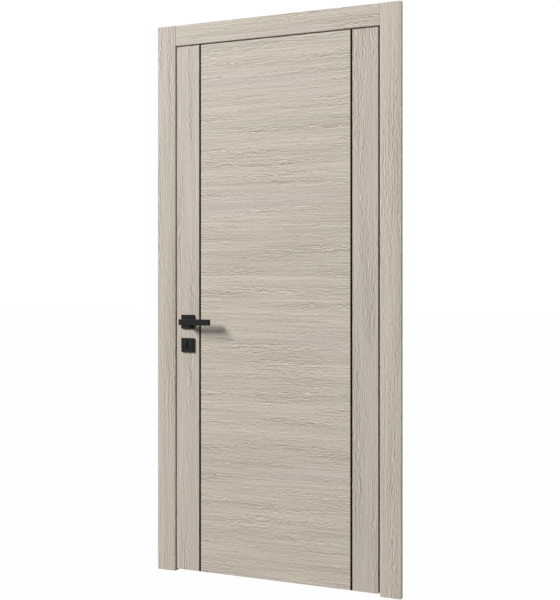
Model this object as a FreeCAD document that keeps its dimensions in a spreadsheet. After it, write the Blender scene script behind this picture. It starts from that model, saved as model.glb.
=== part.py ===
import FreeCAD, Part

import os

# An interior door, flush with the casings of its lining, hung on concealed hinges.
#
# The part's frame: X to the right seen from the pull side, Y away from that side, Z up.
# The origin is on the outer face of the hinge jamb, halfway through the wall, at floor level.
# The leaf opens towards -Y about an upright axis just in front of the hinge gap.

doc = FreeCAD.newDocument("interior_door")

DIMENSIONS = {
    # Leaf
    "leaf_width": 822,
    "leaf_height": 2030,
    "leaf_thickness": 40,
    "stile_width": 97.6,
    "strip_width": 8,
    "strip_depth": 3,
    # Gaps round the leaf
    "side_gap": 6.2,
    "head_gap": 5,
    "floor_gap": 10,
    # Lining and casings
    "wall_thickness": 100,
    "jamb_thickness": 30,
    "casing_width": 80,
    "casing_thickness": 18,
    "stop_reach": 17,
    "stop_depth": 36,
    "gasket_width": 8,
    "gasket_thickness": 3,
    "gasket_inset": 1,
    "seat_gap": 0.3,
    # Lever set
    "backset": 50,
    "spindle_height": 972,
    "spindle_size": 8,
    "spindle_hole_radius": 7,
    "plate_size": 54,
    "plate_thickness": 8,
    "plate_edge_radius": 1,
    "neck_radius": 10,
    "neck_clearance": 0.4,
    "lever_stand_off": 57,
    "lever_reach": 119,
    "lever_tail": 11.5,
    "lever_depth": 22.5,
    "lever_bar_thickness": 14,
    "lever_edge_radius": 1.2,
    # Key plates
    "key_spacing": 90,
    "key_eye_rise": 9,
    "key_eye_radius": 3.5,
    "key_slot_width": 4,
    "key_slot_length": 18.5,
    # Lock and strike, drawn in and flush
    "forend_length": 235,
    "forend_width": 22,
    "forend_thickness": 3,
    "forend_drop": 50,
    "latch_width": 12,
    "latch_height": 32,
    "bolt_height": 24,
    "bolt_depth": 40,
    "bolt_clearance": 0.25,
    "strike_length": 170,
    "strike_width": 24,
    "strike_thickness": 3,
    "strike_hole_margin": 3,
    "strike_pocket_depth": 16,
    # Concealed hinges
    "swing_set_out": 2.5,
    "hinge_end_distance": 260,
    "arm_inner_radius": 26,
    "arm_outer_radius": 32,
    "arm_clearance": 0.5,
    "arm_root_angle": 16.5,
    "arm_root_clearance": 1,
    "frame_arm_sweep": 133.5,
    "frame_arm_height": 12,
    "leaf_arm_height": 8,
    "housing_wall": 1.5,
    "housing_wall_angle": 3,
    "hinge_plate_length": 100,
    "hinge_plate_margin": 5,
    "hinge_plate_thickness": 3,
}

sheet = doc.addObject("Spreadsheet::Sheet", "Dim")
for row, (alias, value) in enumerate(DIMENSIONS.items(), start=1):
    sheet.set(f"A{row}", alias)
    sheet.set(f"B{row}", str(value))
    sheet.setAlias(f"B{row}", alias)
doc.recompute()

# Places across the door, from the hinge jamb's outer face leftwards
hinge_rebate = "(-Dim.jamb_thickness)"
gap_centre = f"({hinge_rebate} - Dim.side_gap / 2)"
leaf_right = f"({hinge_rebate} - Dim.side_gap)"
leaf_left = f"({leaf_right} - Dim.leaf_width)"
latch_rebate = f"({leaf_left} - Dim.side_gap)"
latch_back = f"({latch_rebate} - Dim.jamb_thickness)"
panel_right = f"({leaf_right} - Dim.stile_width)"
panel_left = f"({leaf_left} + Dim.stile_width)"
spindle_x = f"({leaf_left} + Dim.backset)"
casing_right = f"({hinge_rebate} + Dim.casing_width)"
casing_left = f"({latch_rebate} - Dim.casing_width)"

# Places through the wall, from the pull side backwards
wall_front = "(-Dim.wall_thickness / 2)"
wall_rear = "(Dim.wall_thickness / 2)"
leaf_front = f"({wall_front} - Dim.casing_thickness)"
leaf_rear = f"({leaf_front} + Dim.leaf_thickness)"
leaf_middle = f"({leaf_front} + Dim.leaf_thickness / 2)"
gasket_front = f"({leaf_rear} + Dim.seat_gap)"
stop_front = f"({gasket_front} + Dim.gasket_thickness)"
stop_rear = f"({stop_front} + Dim.stop_depth)"
swing_y = f"({leaf_front} - Dim.swing_set_out)"

# Heights from the floor
floor_level = "0"
leaf_bottom = "Dim.floor_gap"
leaf_top = f"({leaf_bottom} + Dim.leaf_height)"
head_rebate = f"({leaf_top} + Dim.head_gap)"
lining_top = f"({head_rebate} + Dim.jamb_thickness)"
casing_top = f"({head_rebate} + Dim.casing_width)"
key_height = "(Dim.spindle_height - Dim.key_spacing)"
forend_top = "(Dim.spindle_height + Dim.forend_drop)"
forend_bottom = f"({forend_top} - Dim.forend_length)"

nodes = []


def node(label, obj):
    """Name a finished piece and list it for writing."""
    obj.Label = label
    nodes.append(obj)
    return obj


def bind_box(obj, x, y, z):
    """Tie a box feature's sides and corner to its low and high places."""
    for side, axis, (low, high) in zip(("Length", "Width", "Height"), "xyz", (x, y, z)):
        obj.setExpression(side, f"({high}) - ({low})")
        obj.setExpression(f"Placement.Base.{axis}", low)
    return obj


def box(name, x, y, z):
    return bind_box(doc.addObject("Part::Box", name), x, y, z)


def place(obj, x, y, z):
    for axis, value in zip("xyz", (x, y, z)):
        obj.setExpression(f"Placement.Base.{axis}", value)
    return obj


def centred(middle, size):
    """Low and high places of a length centred on a place."""
    return (f"({middle} - {size} / 2)", f"({middle} + {size} / 2)")


def grown(span, margin):
    """A span made longer by a margin at both ends."""
    return (f"({span[0]} - {margin})", f"({span[1]} + {margin})")


def cut(name, base, tools):
    """Cut one tool, or several fused ones, out of a base."""
    tool = tools[0]
    if len(tools) > 1:
        tool = fuse(f"{name}_tools", tools)
    result = doc.addObject("Part::Cut", name)
    result.Base = base
    result.Tool = tool
    return result


def fuse(name, shapes):
    result = doc.addObject("Part::MultiFuse", name)
    result.Shapes = shapes
    return result


def common(name, shapes):
    result = doc.addObject("Part::MultiCommon", name)
    result.Shapes = shapes
    return result


def sector(name, radius, z, start, sweep):
    """An upright wedge of a cylinder about the swing axis."""
    obj = doc.addObject("Part::Cylinder", name)
    obj.setExpression("Radius", radius)
    obj.setExpression("Height", f"({z[1]}) - ({z[0]})")
    obj.setExpression("Angle", sweep)
    obj.setExpression("Placement.Rotation.Angle", start)
    return place(obj, gap_centre, swing_y, z[0])


def ring_sector(name, inner, outer, z, start, sweep):
    """A curved bar of rectangular section about the swing axis."""
    outside = sector(f"{name}_outside", outer, z, start, sweep)
    inside = doc.addObject("Part::Cylinder", f"{name}_inside")
    inside.setExpression("Radius", inner)
    inside.setExpression("Height", f"({z[1]}) - ({z[0]})")
    place(inside, gap_centre, swing_y, z[0])
    return cut(name, outside, [inside])


def edges_where(feature, test):
    """Names of a feature's edges whose bounding box passes a test."""
    found = []
    for number, edge in enumerate(feature.Shape.Edges, start=1):
        if test(edge.BoundBox):
            found.append(f"Edge{number}")
    return found


# Concealed hinges: housings let into jamb and leaf, and curved arms that share the swing.
# Angles run from +X, towards the wall, to +Y, into the rebate.
QUARTER = "90"
HALF = "180"
arm_stack = "(Dim.frame_arm_height + 2 * Dim.leaf_arm_height + 2 * Dim.arm_clearance)"
pocket_stack = f"({arm_stack} + 2 * Dim.arm_clearance)"
housing_stack = f"({pocket_stack} + 2 * Dim.housing_wall)"
pocket_inner = "(Dim.arm_inner_radius - Dim.arm_clearance)"
pocket_outer = "(Dim.arm_outer_radius + Dim.arm_clearance)"
housing_inner = f"({pocket_inner} - Dim.housing_wall)"
housing_outer = f"({pocket_outer} + Dim.housing_wall)"
pocket_root = "(Dim.arm_root_angle - Dim.arm_root_clearance)"
housing_root = f"({pocket_root} - Dim.housing_wall_angle)"
plate_front = f"({swing_y} + Dim.arm_inner_radius - Dim.hinge_plate_margin)"
plate_rear = f"({swing_y} + Dim.arm_outer_radius + Dim.hinge_plate_margin)"
hinge_heights = {
    "lower": f"({leaf_bottom} + Dim.hinge_end_distance)",
    "upper": f"({leaf_top} - Dim.hinge_end_distance)",
}

frame_recesses = []
leaf_recesses = []
for level, height in hinge_heights.items():
    pocket_z = centred(height, pocket_stack)
    housing_z = centred(height, housing_stack)
    plate_z = centred(height, "Dim.hinge_plate_length")
    sides = {
        "frame": {
            "pocket_start": pocket_root,
            "housing_start": housing_root,
            "plate": (hinge_rebate, f"({hinge_rebate} + Dim.hinge_plate_thickness)"),
            "reach": (hinge_rebate, f"({hinge_rebate} + {housing_outer})"),
            "recesses": frame_recesses,
        },
        "leaf": {
            "pocket_start": QUARTER,
            "housing_start": QUARTER,
            "plate": (f"({leaf_right} - Dim.hinge_plate_thickness)", leaf_right),
            "reach": (f"({leaf_right} - {housing_outer})", leaf_right),
            "recesses": leaf_recesses,
        },
    }
    for side, at in sides.items():
        name = f"{level}_{side}_housing"
        band_y = (swing_y, f"({swing_y} + {housing_outer})")
        shell = ring_sector(f"{name}_shell", housing_inner, housing_outer, housing_z,
                            at["housing_start"], f"{QUARTER} - {housing_root}")
        trim = box(f"{name}_trim", at["reach"], band_y, housing_z)
        cup = common(f"{name}_cup", [shell, trim])
        plate = box(f"{name}_plate", at["plate"], (plate_front, plate_rear), plate_z)
        solid = fuse(f"{name}_solid", [cup, plate])
        pocket = ring_sector(f"{name}_pocket", pocket_inner, pocket_outer, pocket_z,
                             at["pocket_start"], f"{QUARTER} - {pocket_root}")
        node(name, cut(name, solid, [pocket]))
        at["recesses"].append(solid)

    # The frame arm turns a third as far as the leaf, the pair of leaf arms two thirds
    arm_inner = "Dim.arm_inner_radius"
    arm_outer = "Dim.arm_outer_radius"
    frame_arm_z = centred(height, "Dim.frame_arm_height")
    node(f"{level}_frame_arm",
         ring_sector(f"{level}_frame_arm", arm_inner, arm_outer, frame_arm_z,
                     "Dim.arm_root_angle", "Dim.frame_arm_sweep"))
    leaf_arm_start = f"({HALF} - Dim.arm_root_angle - Dim.frame_arm_sweep)"
    beneath = (f"({frame_arm_z[0]} - Dim.arm_clearance - Dim.leaf_arm_height)",
               f"({frame_arm_z[0]} - Dim.arm_clearance)")
    above = (f"({frame_arm_z[1]} + Dim.arm_clearance)",
             f"({frame_arm_z[1]} + Dim.arm_clearance + Dim.leaf_arm_height)")
    pair = []
    for name, arm_z in (("beneath", beneath), ("above", above)):
        pair.append(ring_sector(f"{level}_leaf_arm_{name}", arm_inner, arm_outer, arm_z,
                                leaf_arm_start, "Dim.frame_arm_sweep"))
    arms = doc.addObject("Part::Compound", f"{level}_leaf_arms")
    arms.Links = pair
    node(f"{level}_leaf_arms", arms)


# Lock and strike places on the latch side
latch_z = centred("Dim.spindle_height", "Dim.latch_height")
bolt_z = centred(key_height, "Dim.bolt_height")
latch_y = centred(leaf_middle, "Dim.latch_width")
forend_x = (leaf_left, f"({leaf_left} + Dim.forend_thickness)")
forend_y = centred(leaf_middle, "Dim.forend_width")
forend_z = (forend_bottom, forend_top)
bolt_x = (leaf_left, f"({leaf_left} + Dim.bolt_depth)")

# Lining: jambs with the head board on top of them
side_z = (floor_level, head_rebate)
wall_y = (wall_front, wall_rear)
hinge_board = box("hinge_jamb_board", (hinge_rebate, "0"), wall_y, side_z)
node("hinge_jamb", cut("hinge_jamb", hinge_board, frame_recesses))

strike_middle = f"((Dim.spindle_height + {key_height}) / 2)"
strike_x = (f"({latch_rebate} - Dim.strike_thickness)", latch_rebate)
strike_y = centred(leaf_middle, "Dim.strike_width")
strike_z = centred(strike_middle, "Dim.strike_length")
strike_pocket_x = (f"({latch_rebate} - Dim.strike_pocket_depth)", latch_rebate)
strike_hole_y = grown(latch_y, "Dim.strike_hole_margin")
strike_latch_z = grown(latch_z, "Dim.strike_hole_margin")
strike_bolt_z = grown(bolt_z, "Dim.strike_hole_margin")

latch_board = box("latch_jamb_board", (latch_back, latch_rebate), wall_y, side_z)
strike_recess = box("strike_recess", strike_x, strike_y, strike_z)
latch_pocket = box("latch_pocket", strike_pocket_x, strike_hole_y, strike_latch_z)
bolt_pocket = box("bolt_pocket", strike_pocket_x, strike_hole_y, strike_bolt_z)
strike_recesses = [strike_recess, latch_pocket, bolt_pocket]
node("latch_jamb", cut("latch_jamb", latch_board, strike_recesses))
strike_blank = box("strike_blank", strike_x, strike_y, strike_z)
node("strike_plate", cut("strike_plate", strike_blank, [latch_pocket, bolt_pocket]))

node("head_jamb", box("head_jamb", (latch_back, "0"), wall_y, (head_rebate, lining_top)))

# Stops planted on the lining behind the leaf, with a soft gasket in front of each
stop_y = (stop_front, stop_rear)
gasket_y = (gasket_front, stop_front)
hinge_stop_x = (f"({hinge_rebate} - Dim.stop_reach)", hinge_rebate)
latch_stop_x = (latch_rebate, f"({latch_rebate} + Dim.stop_reach)")
head_stop_z = (f"({head_rebate} - Dim.stop_reach)", head_rebate)
node("hinge_stop", box("hinge_stop", hinge_stop_x, stop_y, side_z))
node("latch_stop", box("latch_stop", latch_stop_x, stop_y, side_z))
node("head_stop", box("head_stop", (latch_stop_x[1], hinge_stop_x[0]), stop_y, head_stop_z))

hinge_gasket_low = f"({hinge_stop_x[0]} + Dim.gasket_inset)"
latch_gasket_high = f"({latch_stop_x[1]} - Dim.gasket_inset)"
head_gasket_low = f"({head_stop_z[0]} + Dim.gasket_inset)"
hinge_gasket_x = (hinge_gasket_low, f"({hinge_gasket_low} + Dim.gasket_width)")
latch_gasket_x = (f"({latch_gasket_high} - Dim.gasket_width)", latch_gasket_high)
head_gasket_z = (head_gasket_low, f"({head_gasket_low} + Dim.gasket_width)")
node("hinge_gasket", box("hinge_gasket", hinge_gasket_x, gasket_y, (leaf_bottom, head_gasket_low)))
node("latch_gasket", box("latch_gasket", latch_gasket_x, gasket_y, (leaf_bottom, head_gasket_low)))
node("head_gasket", box("head_gasket", (latch_gasket_x[0], hinge_gasket_x[1]), gasket_y,
                        head_gasket_z))

# Casings on the pull side: full-height sides with the head piece between them
casing_y = (leaf_front, wall_front)
casing_z = (floor_level, casing_top)
right_board = box("casing_right_board", (hinge_rebate, casing_right), casing_y, casing_z)
node("casing_right", cut("casing_right", right_board, frame_recesses))
left_board = box("casing_left_board", (casing_left, latch_rebate), casing_y, casing_z)
node("casing_left", cut("casing_left", left_board, strike_recesses))
node("casing_head", box("casing_head", (latch_rebate, hinge_rebate), casing_y,
                        (head_rebate, casing_top)))

# Leaf: two stiles, a centre panel, and a dark strip let into each joint on both faces
leaf_y = (leaf_front, leaf_rear)
leaf_z = (leaf_bottom, leaf_top)
hinge_stile_board = box("hinge_stile_board", (panel_right, leaf_right), leaf_y, leaf_z)
node("hinge_stile", cut("hinge_stile", hinge_stile_board, leaf_recesses))

strip_spans = {
    "left": (panel_left, f"({panel_left} + Dim.strip_width)"),
    "right": (f"({panel_right} - Dim.strip_width)", panel_right),
}
strip_faces = {
    "front": (leaf_front, f"({leaf_front} + Dim.strip_depth)"),
    "rear": (f"({leaf_rear} - Dim.strip_depth)", leaf_rear),
}
grooves = []
for face, strip_y in strip_faces.items():
    for hand, strip_x in strip_spans.items():
        strip = box(f"{face}_strip_{hand}", strip_x, strip_y, leaf_z)
        node(f"{face}_strip_{hand}", strip)
        grooves.append(strip)
panel_board = box("centre_panel_board", (panel_left, panel_right), leaf_y, leaf_z)
node("centre_panel", cut("centre_panel", panel_board, grooves))

# Lock: forend and bolts in the latch edge
bolts = {"latch_bolt": latch_z, "dead_bolt": bolt_z}
bolt_holes = []
for name, span in bolts.items():
    node(name, box(name, bolt_x, latch_y, span))
    hole = box(f"{name}_hole", (leaf_left, f"({bolt_x[1]} + Dim.bolt_clearance)"),
               grown(latch_y, "Dim.bolt_clearance"), grown(span, "Dim.bolt_clearance"))
    bolt_holes.append(hole)
forend_blank = box("lock_forend_blank", forend_x, forend_y, forend_z)
node("lock_forend", cut("lock_forend", forend_blank, bolt_holes))

# Keyhole and spindle hole, right through the latch stile and the plates
through_y = (f"({leaf_front} - 2 * Dim.plate_thickness)", f"({leaf_rear} + 2 * Dim.plate_thickness)")
through_length = f"({through_y[1]} - {through_y[0]})"


def through_hole(name, radius, height):
    """A round hole along Y through the leaf and whatever is fixed to it."""
    hole = doc.addObject("Part::Cylinder", name)
    hole.Placement.Rotation = FreeCAD.Rotation(FreeCAD.Vector(1, 0, 0), -90)
    hole.setExpression("Radius", radius)
    hole.setExpression("Height", through_length)
    return place(hole, spindle_x, through_y[0], height)


eye_height = f"({key_height} + Dim.key_eye_rise)"
key_eye = through_hole("key_eye", "Dim.key_eye_radius", eye_height)
key_slot = box("key_slot", centred(spindle_x, "Dim.key_slot_width"), through_y,
               (f"({eye_height} - Dim.key_slot_length)", eye_height))
keyhole = fuse("keyhole", [key_eye, key_slot])
spindle_hole = through_hole("spindle_hole", "Dim.spindle_hole_radius", "Dim.spindle_height")
latch_stile_board = box("latch_stile_board", (leaf_left, panel_left), leaf_y, leaf_z)
forend_recess = box("forend_recess", forend_x, forend_y, forend_z)
node("latch_stile", cut("latch_stile", latch_stile_board,
                        [forend_recess, keyhole, spindle_hole] + bolt_holes))

# Rose and key plate on each face: square plates with eased front edges
SAME_PLACE = 1e-6
SIDES = {
    "front": {"face": leaf_front, "out": -1},
    "rear": {"face": leaf_rear, "out": 1},
}


def outward(face, out, near, far):
    """Low and high Y of what stands between two distances off a face of the leaf."""
    if out < 0:
        return (f"({face} - ({far}))", f"({face} - ({near}))")
    return (f"({face} + ({near}))", f"({face} + ({far}))")


def square_plate(name, face, out, height):
    body = doc.addObject("PartDesign::Body", f"{name}_body")
    block = body.newObject("PartDesign::AdditiveBox", f"{name}_block")
    bind_box(block, centred(spindle_x, "Dim.plate_size"),
             outward(face, out, "0", "Dim.plate_thickness"),
             centred(height, "Dim.plate_size"))
    doc.recompute()
    bounds = block.Shape.BoundBox
    front = bounds.YMin if out < 0 else bounds.YMax
    easing = body.newObject("PartDesign::Fillet", f"{name}_easing")
    easing.Base = (block, edges_where(block, lambda edge: abs(edge.YMin - front) < SAME_PLACE
                                      and abs(edge.YMax - front) < SAME_PLACE))
    easing.setExpression("Radius", "Dim.plate_edge_radius")
    return body


def lever(name, face, out):
    """A flat bar on a round neck that runs down through the rose to the leaf."""
    body = doc.addObject("PartDesign::Body", name)
    bar = body.newObject("PartDesign::AdditiveBox", f"{name}_bar")
    bar_back = "(Dim.lever_stand_off - Dim.lever_bar_thickness)"
    bind_box(bar, (f"({spindle_x} - Dim.lever_tail)", f"({spindle_x} + Dim.lever_reach)"),
             outward(face, out, bar_back, "Dim.lever_stand_off"),
             centred("Dim.spindle_height", "Dim.lever_depth"))
    doc.recompute()
    easing = body.newObject("PartDesign::Fillet", f"{name}_easing")
    easing.Base = (bar, edges_where(bar, lambda edge: True))
    easing.setExpression("Radius", "Dim.lever_edge_radius")
    neck = body.newObject("PartDesign::AdditiveCylinder", f"{name}_neck")
    neck.Placement.Rotation = FreeCAD.Rotation(FreeCAD.Vector(1, 0, 0), -90 * out)
    neck.setExpression("Radius", "Dim.neck_radius")
    neck.setExpression("Height", f"{bar_back} + Dim.lever_edge_radius")
    place(neck, spindle_x, face, "Dim.spindle_height")
    body.Tip = neck
    return body


for side, at in SIDES.items():
    rose_body = square_plate(f"{side}_rose", at["face"], at["out"], "Dim.spindle_height")
    neck_hole = through_hole(f"{side}_neck_hole", "Dim.neck_radius + Dim.neck_clearance",
                             "Dim.spindle_height")
    node(f"{side}_rose", cut(f"{side}_rose", rose_body, [neck_hole]))
    key_body = square_plate(f"{side}_key_plate", at["face"], at["out"], key_height)
    node(f"{side}_key_plate", cut(f"{side}_key_plate", key_body, [keyhole]))
    node(f"{side}_lever", lever(f"{side}_lever", at["face"], at["out"]))
node("spindle", box("spindle", centred(spindle_x, "Dim.spindle_size"), leaf_y,
                    centred("Dim.spindle_height", "Dim.spindle_size")))

doc.recompute()
for obj in doc.Objects:
    if "Invalid" in obj.State or "Error" in obj.State:
        raise RuntimeError(f"{obj.Name} did not recompute: {obj.State}")
for piece in nodes:
    if piece.Shape.isNull() or not piece.Shape.isValid():
        raise RuntimeError(f"{piece.Label} has no valid shape")

os.makedirs("parts", exist_ok=True)
for piece in nodes:
    piece.Shape.exportStep(os.path.join("parts", f"{piece.Label}.step"))
    print(f"{piece.Label}: {len(piece.Shape.Solids)} solid(s), {piece.Shape.Volume / 1000:.1f} cm3")
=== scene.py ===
import math

import bpy
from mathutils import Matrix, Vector


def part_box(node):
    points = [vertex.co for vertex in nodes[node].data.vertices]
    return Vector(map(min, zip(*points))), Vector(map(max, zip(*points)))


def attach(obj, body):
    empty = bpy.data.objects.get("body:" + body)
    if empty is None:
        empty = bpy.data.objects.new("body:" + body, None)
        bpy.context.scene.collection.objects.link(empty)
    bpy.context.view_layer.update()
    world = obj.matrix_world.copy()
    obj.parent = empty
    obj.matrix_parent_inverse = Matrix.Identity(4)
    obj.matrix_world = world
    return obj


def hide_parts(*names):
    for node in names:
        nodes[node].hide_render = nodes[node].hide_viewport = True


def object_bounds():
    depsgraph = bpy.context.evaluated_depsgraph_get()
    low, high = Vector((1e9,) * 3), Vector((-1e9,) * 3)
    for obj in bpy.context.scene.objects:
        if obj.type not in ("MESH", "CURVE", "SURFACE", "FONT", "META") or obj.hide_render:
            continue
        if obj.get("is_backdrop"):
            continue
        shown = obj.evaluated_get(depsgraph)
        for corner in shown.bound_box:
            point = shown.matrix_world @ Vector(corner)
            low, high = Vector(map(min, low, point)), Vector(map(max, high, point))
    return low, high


# Visual model of an interior door in bleached oak decor with a square black lever.
# Metres, in the part's own frame: the pull side faces -Y, the hinges are at +X.

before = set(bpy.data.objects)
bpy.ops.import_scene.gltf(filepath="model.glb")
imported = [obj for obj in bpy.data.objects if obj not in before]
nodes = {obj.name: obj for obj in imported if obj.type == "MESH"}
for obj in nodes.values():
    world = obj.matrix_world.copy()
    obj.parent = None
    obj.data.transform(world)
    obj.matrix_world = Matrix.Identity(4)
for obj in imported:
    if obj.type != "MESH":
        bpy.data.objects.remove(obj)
cad_low, cad_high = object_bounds()
scene = bpy.context.scene

MM = 0.001


# Node helpers

def new_material(name):
    """An empty node material and its tree."""
    material = bpy.data.materials.new(name)
    material.use_nodes = True
    material.node_tree.nodes.clear()
    return material, material.node_tree


def fill(tree, socket, value):
    """Link a socket to another, or set it; a colour given as three numbers is opaque."""
    if isinstance(value, bpy.types.NodeSocket):
        tree.links.new(value, socket)
    elif socket.type == "RGBA" and len(value) == 3:
        socket.default_value = (*value, 1.0)
    else:
        socket.default_value = value


def add(tree, kind, settings=None, **inputs):
    """Add a shader node, set its properties, and fill its inputs by name."""
    item = tree.nodes.new(kind)
    for key, value in (settings or {}).items():
        setattr(item, key, value)
    for key, value in inputs.items():
        wanted = key.replace("_", " ").lower()
        fill(tree, next(s for s in item.inputs if s.name.lower() == wanted and s.enabled), value)
    return item


def maths(tree, operation, *values):
    """A Math node on numbers or sockets, as its output socket."""
    item = add(tree, "ShaderNodeMath", {"operation": operation})
    for socket, value in zip(item.inputs, values):
        fill(tree, socket, value)
    return item.outputs[0]


def remap(tree, value, low, high, to_low=0.0, to_high=1.0, smooth=True):
    """Map a value's range to another, clamped."""
    item = add(tree, "ShaderNodeMapRange", {"interpolation_type": "SMOOTHSTEP" if smooth else "LINEAR"},
               Value=value, From_Min=low, From_Max=high, To_Min=to_low, To_Max=to_high)
    return item.outputs["Result"]


def noise(tree, vector, scale=1.0, detail=3.0):
    """A noise that mostly lies between NOISE_LOW and NOISE_HIGH, as its output socket."""
    return add(tree, "ShaderNodeTexNoise", Vector=vector, Scale=scale, Detail=detail).outputs["Fac"]


def mix_colour(tree, share, first, second, blend="MIX"):
    """Mix two colours, given as tuples or sockets."""
    item = add(tree, "ShaderNodeMix", {"data_type": "RGBA", "blend_type": blend},
               Factor=share, A=first, B=second)
    return next(s for s in item.outputs if s.enabled)


def object_coordinates(tree):
    """A point's place on its own piece, in metres."""
    return add(tree, "ShaderNodeTexCoord").outputs["Object"]


def surface(tree, colour, roughness, height, depth, **sockets):
    """A Principled surface with a bump from a height in units of depth; sockets fills its other inputs."""
    bump = add(tree, "ShaderNodeBump", Distance=depth, Height=height)
    shader = add(tree, "ShaderNodeBsdfPrincipled", Base_Color=colour, Roughness=roughness,
                 Normal=bump.outputs["Normal"], **sockets)
    add(tree, "ShaderNodeOutputMaterial", Surface=shader.outputs["BSDF"])


def srgb(red, green, blue):
    """A colour given in 0-255 display values, as linear light."""
    def linear(value):
        value /= 255
        return value / 12.92 if value <= 0.04045 else ((value + 0.055) / 1.055) ** 2.4
    return tuple(linear(value) for value in (red, green, blue))


def toned(colour, factor):
    """A colour made darker or lighter."""
    return tuple(value * factor for value in colour)


# Where most of a noise's values lie
NOISE_LOW = 0.3
NOISE_HIGH = 0.7


# Bleached oak decor

OAK_DARK = srgb(140, 128, 113)
OAK_MIDDLE = srgb(198, 188, 176)
OAK_LIGHT = srgb(226, 218, 206)
OAK_PINK = srgb(201, 187, 178)
OAK_GREY = srgb(187, 178, 166)
PINK_SHARE = 0.5
PORE_SHARE = 0.55

# The depth of the decor's relief, and how steep a crowned board is at its edges
GRAIN_DEPTH = 0.03 * MM
CROWN_SLOPE = 0.07

# How far each step of the seed moves the pattern across the grain, into the wood and along the grain
SEED_STEPS = (0.731, 0.377, 1.913)

# Patches of lively figure in a metre along the grain, on level boards and on upright ones
FIGURE_RUN = {"X": 2.2, "Z": 1.5}

# In calm wood, and what lively figure adds: the fibres' sideways sway in metres, and the strokes' force
SWAY_CALM = 0.003
SWAY_LIVELY = 0.016
FORCE_CALM = 0.5
FORCE_LIVELY = 1.0

# The relief's level without strokes, what lively figure adds to it, and where it is wholly light or dark
LEVEL_CALM = 0.04
LEVEL_LIVELY = -0.12
RELIEF_LIGHT = 0.9
RELIEF_DARK = -1.1


def grain_coordinates(tree, along, seed):
    """Places across the grain, into the wood and along the grain, moved by a seed."""
    split = add(tree, "ShaderNodeSeparateXYZ", Vector=object_coordinates(tree))
    order = {"Z": "XYZ", "X": "ZYX"}[along]
    return [maths(tree, "ADD", split.outputs[letter], step * seed) for letter, step in zip(order, SEED_STEPS)]


def streaks(tree, place, across_scale, run_scale, detail=1.0):
    """Noise with spots that are long along the grain; the scales are its turns a metre."""
    across, depth, run = place
    vector = add(tree, "ShaderNodeCombineXYZ",
                 X=maths(tree, "MULTIPLY", across, across_scale),
                 Y=maths(tree, "MULTIPLY", depth, across_scale),
                 Z=maths(tree, "MULTIPLY", run, run_scale))
    return noise(tree, vector.outputs["Vector"], detail=detail)


def crowned(tree, along, node_name):
    """A board's slightly round face across its grain, as a height in units of the grain's depth."""
    low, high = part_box(node_name)
    letter = {"Z": "X", "X": "Z"}[along]
    start, end = getattr(low, letter.lower()), getattr(high, letter.lower())
    split = add(tree, "ShaderNodeSeparateXYZ", Vector=object_coordinates(tree))
    offset = maths(tree, "SUBTRACT", split.outputs[letter], (start + end) / 2)
    fall = -CROWN_SLOPE / (end - start) / GRAIN_DEPTH
    return maths(tree, "MULTIPLY", maths(tree, "MULTIPLY", offset, offset), fall)


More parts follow.
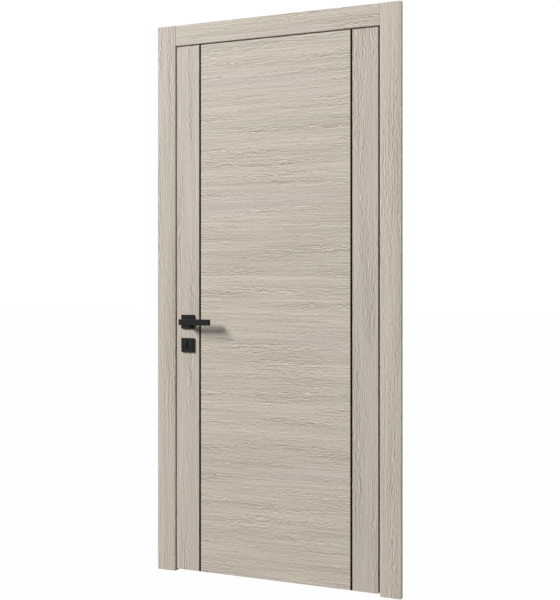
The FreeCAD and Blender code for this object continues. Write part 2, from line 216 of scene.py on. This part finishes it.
def oak(name, along, seed, tone=1.0, drift=1.0, strength=1.0, board=None):
    """Bleached oak decor with its grain along Z or X.

    tone darkens it, drift is how far its ground's hue wanders, strength is its fibres', and the board that
    is named is crowned.
    """
    material, tree = new_material(name)
    across, depth, run = grain_coordinates(tree, along, seed)

    # Long patches where the figure is lively, and the sideways sway of the fibres there
    place = (across, depth, run)
    figure = streaks(tree, place, across_scale=24.0, run_scale=FIGURE_RUN[along], detail=2.0)
    lively = remap(tree, figure, low=0.45, high=0.66)
    sway = streaks(tree, place, across_scale=36.0, run_scale=14.0, detail=1.5)
    sway = maths(tree, "SUBTRACT", sway, 0.5)
    sway_size = maths(tree, "MULTIPLY_ADD", lively, SWAY_LIVELY, SWAY_CALM)
    across = maths(tree, "MULTIPLY_ADD", sway, sway_size, across)
    place = (across, depth, run)

    # Fibres, each centred on nothing; apart pairs a dark stroke with a light one that far beside it
    def fibre(across_scale, run_scale, gain, apart=0.0):
        value = streaks(tree, place, across_scale, run_scale)
        if not apart:
            return maths(tree, "MULTIPLY_ADD", value, gain * strength, -0.5 * gain * strength)
        beside = maths(tree, "ADD", across, apart)
        other = streaks(tree, (beside, depth, run), across_scale, run_scale)
        return maths(tree, "MULTIPLY", maths(tree, "SUBTRACT", value, other), gain * strength)

    line = fibre(across_scale=260.0, run_scale=2.4, gain=1.0)
    long_stroke = fibre(across_scale=250.0, run_scale=8.0, gain=0.8, apart=4.5 * MM)
    stroke = fibre(across_scale=310.0, run_scale=22.0, gain=1.1, apart=4.5 * MM)
    fine = fibre(across_scale=520.0, run_scale=55.0, gain=2.0, apart=3.0 * MM)
    strokes = maths(tree, "ADD", maths(tree, "ADD", stroke, long_stroke), fine)
    force = maths(tree, "MULTIPLY_ADD", lively, FORCE_LIVELY, FORCE_CALM)
    calm = maths(tree, "MULTIPLY_ADD", lively, LEVEL_LIVELY, maths(tree, "ADD", line, LEVEL_CALM))
    relief = maths(tree, "MULTIPLY_ADD", strokes, force, calm)
    pore = fibre(across_scale=1100.0, run_scale=60.0, gain=1.0)

    # Calm ground whose hue drifts between grey, middle and pink, under light and dark fibres
    broad = streaks(tree, place, across_scale=34.0, run_scale=1.8, detail=2.0)
    tint = streaks(tree, place, across_scale=6.0, run_scale=1.1)
    middle_share = remap(tree, broad, NOISE_LOW, NOISE_HIGH, 0.5 - 0.5 * drift, 0.5 + 0.5 * drift)
    colour = mix_colour(tree, middle_share, OAK_GREY, OAK_MIDDLE)
    pink_share = remap(tree, tint, low=0.40, high=0.72, to_high=PINK_SHARE)
    pore_share = remap(tree, pore, low=-0.10, high=-0.22, to_high=PORE_SHARE)
    colour = mix_colour(tree, pink_share, colour, OAK_PINK)
    colour = mix_colour(tree, remap(tree, relief, 0.0, RELIEF_LIGHT, smooth=False), colour, OAK_LIGHT)
    colour = mix_colour(tree, remap(tree, relief, 0.0, RELIEF_DARK, smooth=False), colour, OAK_DARK)
    colour = mix_colour(tree, pore_share, colour, OAK_DARK)
    colour = mix_colour(tree, 1.0, colour, (tone, tone, tone), "MULTIPLY")

    roughness = remap(tree, relief, low=-0.8, high=0.8, to_low=0.62, to_high=0.50)
    height = maths(tree, "ADD", relief, crowned(tree, along, board)) if board else relief
    surface(tree, colour, roughness, height, GRAIN_DEPTH, Specular_IOR_Level=0.35)
    return material


# Metals, inlay and gasket

def coated(name, colour, rough, sheen=0.15):
    """Powder-coated metal with a fine orange-peel skin."""
    material, tree = new_material(name)
    position = object_coordinates(tree)
    skin = noise(tree, position, scale=2600.0, detail=2.0)
    patch = noise(tree, position, scale=40.0)
    share = remap(tree, patch, NOISE_LOW, NOISE_HIGH)
    shade = mix_colour(tree, share, toned(colour, 0.75), toned(colour, 1.25))
    roughness = remap(tree, patch, NOISE_LOW, NOISE_HIGH, rough - 0.05, rough + 0.05)
    surface(tree, shade, roughness, skin, 0.02 * MM, Specular_IOR_Level=sheen)
    return material


def brushed(name, colour, rough):
    """Brushed steel with its strokes upright."""
    material, tree = new_material(name)
    strokes = add(tree, "ShaderNodeMapping", Vector=object_coordinates(tree), Scale=(3000.0, 3000.0, 30.0))
    line = noise(tree, strokes.outputs["Vector"], detail=2.0)
    shade = mix_colour(tree, remap(tree, line, NOISE_LOW, NOISE_HIGH), toned(colour, 0.85), colour)
    roughness = remap(tree, line, NOISE_LOW, NOISE_HIGH, rough - 0.08, rough + 0.08)
    surface(tree, shade, roughness, line, 0.01 * MM, Metallic=1.0)
    return material


def soft_rubber(name, colour):
    """Matt rubber with a slight grain."""
    material, tree = new_material(name)
    grain = noise(tree, object_coordinates(tree), scale=900.0)
    shade = mix_colour(tree, grain, toned(colour, 0.8), toned(colour, 1.2))
    surface(tree, shade, 0.7, grain, 0.03 * MM)
    return material


# Each board has its own seed, so that no two show the same figure
LINING_TONE = 0.92
MATERIALS = {
    "hinge_jamb": oak("oak_hinge_jamb", "Z", 3, LINING_TONE),
    "latch_jamb": oak("oak_latch_jamb", "Z", 4, LINING_TONE),
    "head_jamb": oak("oak_head_jamb", "X", 5, LINING_TONE),
    "hinge_stop": oak("oak_hinge_stop", "Z", 6, LINING_TONE),
    "latch_stop": oak("oak_latch_stop", "Z", 7, LINING_TONE),
    "head_stop": oak("oak_head_stop", "X", 8, LINING_TONE),
    "casing_left": oak("oak_casing_left", "Z", 1, tone=0.95, drift=0.4, board="casing_left"),
    "casing_right": oak("oak_casing_right", "Z", 22, drift=0.5, board="casing_right"),
    "casing_head": oak("oak_casing_head", "X", 9, board="casing_head"),
    "latch_stile": oak("oak_latch_stile", "Z", 10, tone=0.975, drift=0.5, strength=0.9),
    "hinge_stile": oak("oak_hinge_stile", "Z", 21, tone=0.95, drift=0.2, strength=0.8),
    "centre_panel": oak("oak_panel", "X", 12),
}
black = coated("black_coating", srgb(21, 20, 21), 0.5, sheen=0.13)
inlay = coated("dark_inlay", srgb(24, 18, 10), 0.42, sheen=0.03)
hinge_metal = coated("hinge_coating", srgb(62, 61, 60), 0.42)
steel = brushed("lock_steel", srgb(140, 139, 137), 0.35)
rubber = soft_rubber("gasket", srgb(60, 48, 34))

for name, obj in nodes.items():
    if name in MATERIALS:
        chosen = MATERIALS[name]
    elif "strip" in name:
        chosen = inlay
    elif "gasket" in name:
        chosen = rubber
    elif "housing" in name or "arm" in name:
        chosen = hinge_metal
    elif name in ("strike_plate", "lock_forend", "latch_bolt", "dead_bolt", "spindle"):
        chosen = steel
    else:
        chosen = black
    for place in obj.material_slots:
        place.material = chosen

# Eased edges on the CAD pieces, in mm: rounder on the boards that face the room, and sharp round the keyholes
EASED_USUALLY = 0.6
EASED = {
    "casing_left": 2.0,
    "casing_right": 2.0,
    "casing_head": 2.0,
    "latch_stile": 1.0,
    "hinge_stile": 1.0,
    "centre_panel": 1.0,
    "front_key_plate": 0.1,
    "rear_key_plate": 0.1,
}
for name, obj in nodes.items():
    weld = obj.modifiers.new("weld", "WELD")
    weld.merge_threshold = 0.01 * MM
    # The stile's flat faces are joined first, because slivers beside its pockets would show in the bevel
    if name == "latch_stile":
        flat = obj.modifiers.new("whole_faces", "DECIMATE")
        flat.decimate_type = "DISSOLVE"
        flat.angle_limit = math.radians(1)
    bevel = obj.modifiers.new("eased_edges", "BEVEL")
    bevel.width = EASED.get(name, EASED_USUALLY) * MM
    bevel.segments = 2
    bevel.limit_method = "ANGLE"
    bevel.angle_limit = math.radians(40)
    bevel.harden_normals = True


# Small pieces that the CAD leaves out

SLOT_MATERIALS = {
    "black_metal": black,
    "hinge_metal": hinge_metal,
    "lock_steel": steel,
    "gasket": rubber,
}


def new_piece(name, vertices, faces, body, slot):
    """A mesh that rides on a body and takes its finish from a slot."""
    mesh = bpy.data.meshes.new(name)
    mesh.from_pydata(vertices, [], faces)
    mesh.validate()
    mesh.materials.append(SLOT_MATERIALS[slot])
    piece = bpy.data.objects.new(name, mesh)
    scene.collection.objects.link(piece)
    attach(piece, body)
    return piece


def even(radius):
    """A round outline."""
    return lambda angle: radius


def hexagon(angle):
    """How far a hexagon's side is from its centre, for an inner radius of one."""
    step = math.pi / 3
    return 1 / math.cos((angle + step / 2) % step - step / 2)


def cross(angle):
    """The same for a recess with four straight arms that reach one."""
    arm_half_width = 0.24
    step = math.pi / 2
    off = abs((angle + step / 2) % step - step / 2)
    return min(1.0, arm_half_width / max(math.sin(off), 0.01))


def ringed_piece(name, centre, facing, rings, sides, body, slot, hollow=False):
    """A piece of rings about an axis, each an outline by angle and a height in mm, with a lid or a bore."""
    facing = Vector(facing)
    side = facing.orthogonal().normalized()
    across = facing.cross(side)
    vertices = []
    for outline, height in rings:
        for index in range(sides):
            angle = 2 * math.pi * index / sides
            flat = side * math.cos(angle) + across * math.sin(angle)
            vertices.append(Vector(centre) + (flat * outline(angle) + facing * height) * MM)
    faces = []
    for ring in range(len(rings) if hollow else len(rings) - 1):
        low = ring * sides
        high = (ring + 1) % len(rings) * sides
        for index in range(sides):
            after = (index + 1) % sides
            faces.append((low + index, low + after, high + after, high + index))
    if not hollow:
        faces.append(tuple((len(rings) - 1) * sides + index for index in range(sides)))
    return new_piece(name, vertices, faces, body, slot)


# A recess's reach as a share of its screw's radius, its floor's height in mm, and the sides of round pieces
RECESS_REACH = {hexagon: 0.45, cross: 0.62}
RECESS_FLOOR = 0.05
SCREW_SIDES = 48
WASHER_SIDES = 64


def socket_screw(name, centre, facing, radius, recess, body, slot, proud=0.5):
    """A low round head with a shaped recess; facing is the way that it looks."""
    reach = RECESS_REACH[recess] * radius
    rings = [
        (even(radius), 0.0),
        (even(radius), 0.4 * proud),
        (even(0.88 * radius), proud),
        (lambda angle: reach * recess(angle), proud),
        (lambda angle: 0.9 * reach * recess(angle), RECESS_FLOOR),
    ]
    return ringed_piece(name, centre, facing, rings, SCREW_SIDES, body, slot)


def washer(name, centre, facing, inner, outer, height, body, slot):
    """A flat ring with a chamfered outer edge."""
    chamfer = 0.4 * height
    rings = [
        (even(inner), 0.0),
        (even(inner), height),
        (even(outer - chamfer), height),
        (even(outer), 0.6 * height),
        (even(outer), 0.0),
    ]
    return ringed_piece(name, centre, facing, rings, WASHER_SIDES, body, slot, hollow=True)


# A seal's section in shares of its gasket's width and depth: a base, a round lip and a barbed foot
SEAL_BASE = [(0.0, 1.0), (0.0, 0.72), (0.14, 0.66)]
SEAL_FOOT = [(0.84, 0.60), (0.88, 0.72), (0.92, 0.60), (0.96, 0.72), (1.0, 0.72), (1.0, 1.0)]
LIP_MIDDLE = 0.47
LIP_HALF_WIDTH = 0.30
LIP_REACH = 0.66
LIP_STEPS = 12


def lip_seal(node_name, run, lip_side):
    """A base strip with a round lip, in place of a plain gasket, along one axis."""
    low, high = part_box(node_name)
    wide = {"Z": "x", "X": "z"}[run]
    start, end = getattr(low, run.lower()), getattr(high, run.lower())
    width = getattr(high, wide) - getattr(low, wide)
    depth = high.y - low.y
    outline = list(SEAL_BASE)
    for step in range(LIP_STEPS + 1):
        angle = math.pi * step / LIP_STEPS
        share = LIP_MIDDLE - LIP_HALF_WIDTH * math.cos(angle)
        outline.append((share, LIP_REACH - LIP_REACH * math.sin(angle)))
    outline += SEAL_FOOT
    vertices = []
    for place in (start, end):
        for share, deep in outline:
            if lip_side < 0:
                share = 1 - share
            level = getattr(low, wide) + share * width
            if run == "Z":
                vertices.append((level, low.y + deep * depth, place))
            else:
                vertices.append((place, low.y + deep * depth, level))
    count = len(outline)
    faces = [tuple(range(count)), tuple(range(2 * count - 1, count - 1, -1))]
    for index in range(count):
        after = (index + 1) % count
        faces.append((index, count + index, count + after, after))
    seal = new_piece(f"{node_name}_lip", vertices, faces, "frame", "gasket")
    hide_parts(node_name)


lip_seal("hinge_gasket", "Z", 1)
lip_seal("latch_gasket", "Z", -1)
lip_seal("head_gasket", "X", 1)

# Distances in metres and radii in mm of the screws and sockets in the plates
SCREW_INSET = 8 * MM
ADJUSTER_OFFSET = 25 * MM
HINGE_SCREW_RADIUS = 4.0
ADJUSTER_RADIUS = 2.6
LOCK_SCREW_RADIUS = 3.6

# Hinge plates: a fixing screw near each end, and an adjusting socket inside of it
for level in ("lower", "upper"):
    for side, facing, body in (("frame", (-1, 0, 0), "frame"), ("leaf", (1, 0, 0), "leaf")):
        low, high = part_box(f"{level}_{side}_housing")
        face = low.x if side == "frame" else high.x
        middle = (low.z + high.z) / 2
        half = (high.z - low.z) / 2
        plate_middle = high.y - SCREW_INSET
        for tag, way in (("below", -1), ("above", 1)):
            screw_at = (face, plate_middle, middle + way * (half - SCREW_INSET))
            adjuster_at = (face, plate_middle, middle + way * ADJUSTER_OFFSET)
            socket_screw(f"{level}_{side}_hinge_screw_{tag}", screw_at, facing, HINGE_SCREW_RADIUS,
                         cross, body, "lock_steel")
            socket_screw(f"{level}_{side}_hinge_adjuster_{tag}", adjuster_at, facing, ADJUSTER_RADIUS,
                         hexagon, body, "lock_steel", proud=0.3)

# Screws of the forend and the strike plate
LOCK_PLATES = [
    ("lock_forend", (-1, 0, 0), "leaf", ("low", "high")),
    ("strike_plate", (1, 0, 0), "frame", ("low", "high", "middle")),
]
for name, facing, body, tags in LOCK_PLATES:
    low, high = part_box(name)
    face = low.x if facing[0] < 0 else high.x
    heights = {"low": low.z + SCREW_INSET, "high": high.z - SCREW_INSET, "middle": (low.z + high.z) / 2}
    for tag in tags:
        screw_at = (face, (low.y + high.y) / 2, heights[tag])
        socket_screw(f"{name}_screw_{tag}", screw_at, facing, LOCK_SCREW_RADIUS, cross, body, "lock_steel")

# Lever sets: a bush round each neck and a grub screw under it
NECK_UNDERSIDE = 9.9 * MM
GRUB_FROM_ROSE = 12 * MM
GRUB_RADIUS = 2.2
for side, out in (("front", -1), ("rear", 1)):
    rose_low, rose_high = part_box(f"{side}_rose")
    face = rose_low.y if out < 0 else rose_high.y
    middle = (rose_low + rose_high) / 2
    grub_at = (middle.x, face + out * GRUB_FROM_ROSE, middle.z - NECK_UNDERSIDE)
    washer(f"{side}_neck_bush", (middle.x, face, middle.z), (0, out, 0), inner=10.2, outer=12.6, height=0.8,
           body="leaf", slot="black_metal")
    socket_screw(f"{side}_grub_screw", grub_at, (0, 0, -1), GRUB_RADIUS, hexagon, "handle", "black_metal",
                 proud=0.2)


# Floor, light and camera

FLOOR_HALF_SIDE = 30.0
FLOOR_PAINT = (0.20, 0.20, 0.197)
FLOOR_WHITENESS = 0.99
PURE_WHITE = (1.0, 1.0, 1.0)
WARM_WHITE = (1.0, 0.99, 0.975)
AMBIENT = 0.03


def seen(tree):
    """1 for rays from the camera, off gloss or through glass, which meet plain white, and 0 for the rest."""
    path = add(tree, "ShaderNodeLightPath")
    mirrored = maths(tree, "MAXIMUM", path.outputs["Is Glossy Ray"], path.outputs["Is Transmission Ray"])
    return maths(tree, "MAXIMUM", path.outputs["Is Camera Ray"], mirrored)


def plain_floor():
    """A floor that is seen as nearly white and keeps a light shadow."""
    mesh = bpy.data.meshes.new("floor")
    size = FLOOR_HALF_SIDE
    corners = [(-size, -size, 0), (size, -size, 0), (size, size, 0), (-size, size, 0)]
    mesh.from_pydata(corners, [], [(0, 1, 2, 3)])
    floor = bpy.data.objects.new("floor", mesh)
    scene.collection.objects.link(floor)
    material, tree = new_material("floor_paint")
    paint = add(tree, "ShaderNodeBsdfDiffuse", Color=FLOOR_PAINT)
    white = add(tree, "ShaderNodeEmission", Color=PURE_WHITE, Strength=1.0)
    both = add(tree, "ShaderNodeMixShader")
    share = maths(tree, "MULTIPLY", seen(tree), FLOOR_WHITENESS)
    for socket, value in zip(both.inputs, (share, paint.outputs[0], white.outputs[0])):
        fill(tree, socket, value)
    add(tree, "ShaderNodeOutputMaterial", Surface=both.outputs[0])
    mesh.materials.append(material)
    floor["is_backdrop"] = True


def soft_world():
    """An even grey light all round, seen and reflected as white."""
    world = bpy.data.worlds.new("studio")
    world.use_nodes = True
    tree = world.node_tree
    tree.nodes.clear()
    strength = maths(tree, "MULTIPLY_ADD", seen(tree), 1.0 - AMBIENT, AMBIENT)
    background = add(tree, "ShaderNodeBackground", Color=PURE_WHITE, Strength=strength)
    add(tree, "ShaderNodeOutputWorld", Surface=background.outputs[0])
    scene.world = world


def area_light(name, direction, distance, size, power, colour):
    """A rectangular lamp of a width and a height that looks at the middle of the door's face."""
    aim = Vector(((cad_low.x + cad_high.x) / 2, leaf_front, cad_high.z / 2))
    data = bpy.data.lights.new(name, "AREA")
    data.shape = "RECTANGLE"
    data.size, data.size_y = size
    data.energy = power
    data.color = colour
    lamp = bpy.data.objects.new(name, data)
    scene.collection.objects.link(lamp)
    lamp.location = aim + Vector(direction).normalized() * distance
    lamp.rotation_euler = (aim - lamp.location).to_track_quat("-Z", "Y").to_euler()


casing_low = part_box("casing_left")[0]
leaf_front = casing_low.y
plain_floor()
soft_world()
area_light("key", (-0.80, -1.0, 0.56), 26.0, (5.7, 5.8), power=4540, colour=WARM_WHITE)
area_light("softbox", (-1.25, -1.0, 0.98), 26.0, (5.6, 6.3), power=4170, colour=WARM_WHITE)
area_light("side_fill", (1.0, -0.08, 0.3), 8.0, (3.0, 3.0), power=165, colour=PURE_WHITE)
area_light("back_fill", (-0.35, 1.0, 0.4), 8.0, (4.0, 4.0), power=560, colour=PURE_WHITE)

# The camera stands level, to the right of the door and turned towards it; its lens and sensor are in mm, and
# the horizon and the frame in pixels
CAMERA_TURN = math.radians(23.7)
CAMERA_ASIDE = 2.0917
CAMERA_BACK = 3.570
CAMERA_HEIGHT = 1.134
CAMERA_LENS = 62.76
CAMERA_SENSOR = 36.0
HORIZON_ABOVE_MIDDLE = 20.1
FRAME_LONG_SIDE = 600
camera_data = bpy.data.cameras.new("camera")
camera_data.lens = CAMERA_LENS
camera_data.sensor_width = CAMERA_SENSOR
camera_data.shift_y = -HORIZON_ABOVE_MIDDLE / FRAME_LONG_SIDE
camera = bpy.data.objects.new("camera", camera_data)
scene.collection.objects.link(camera)
camera.location = (casing_low.x + CAMERA_ASIDE, leaf_front - CAMERA_BACK, CAMERA_HEIGHT)
camera.rotation_euler = (math.pi / 2, 0, CAMERA_TURN)
scene.camera = camera

scene.view_settings.view_transform = "Standard"

low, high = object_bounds()
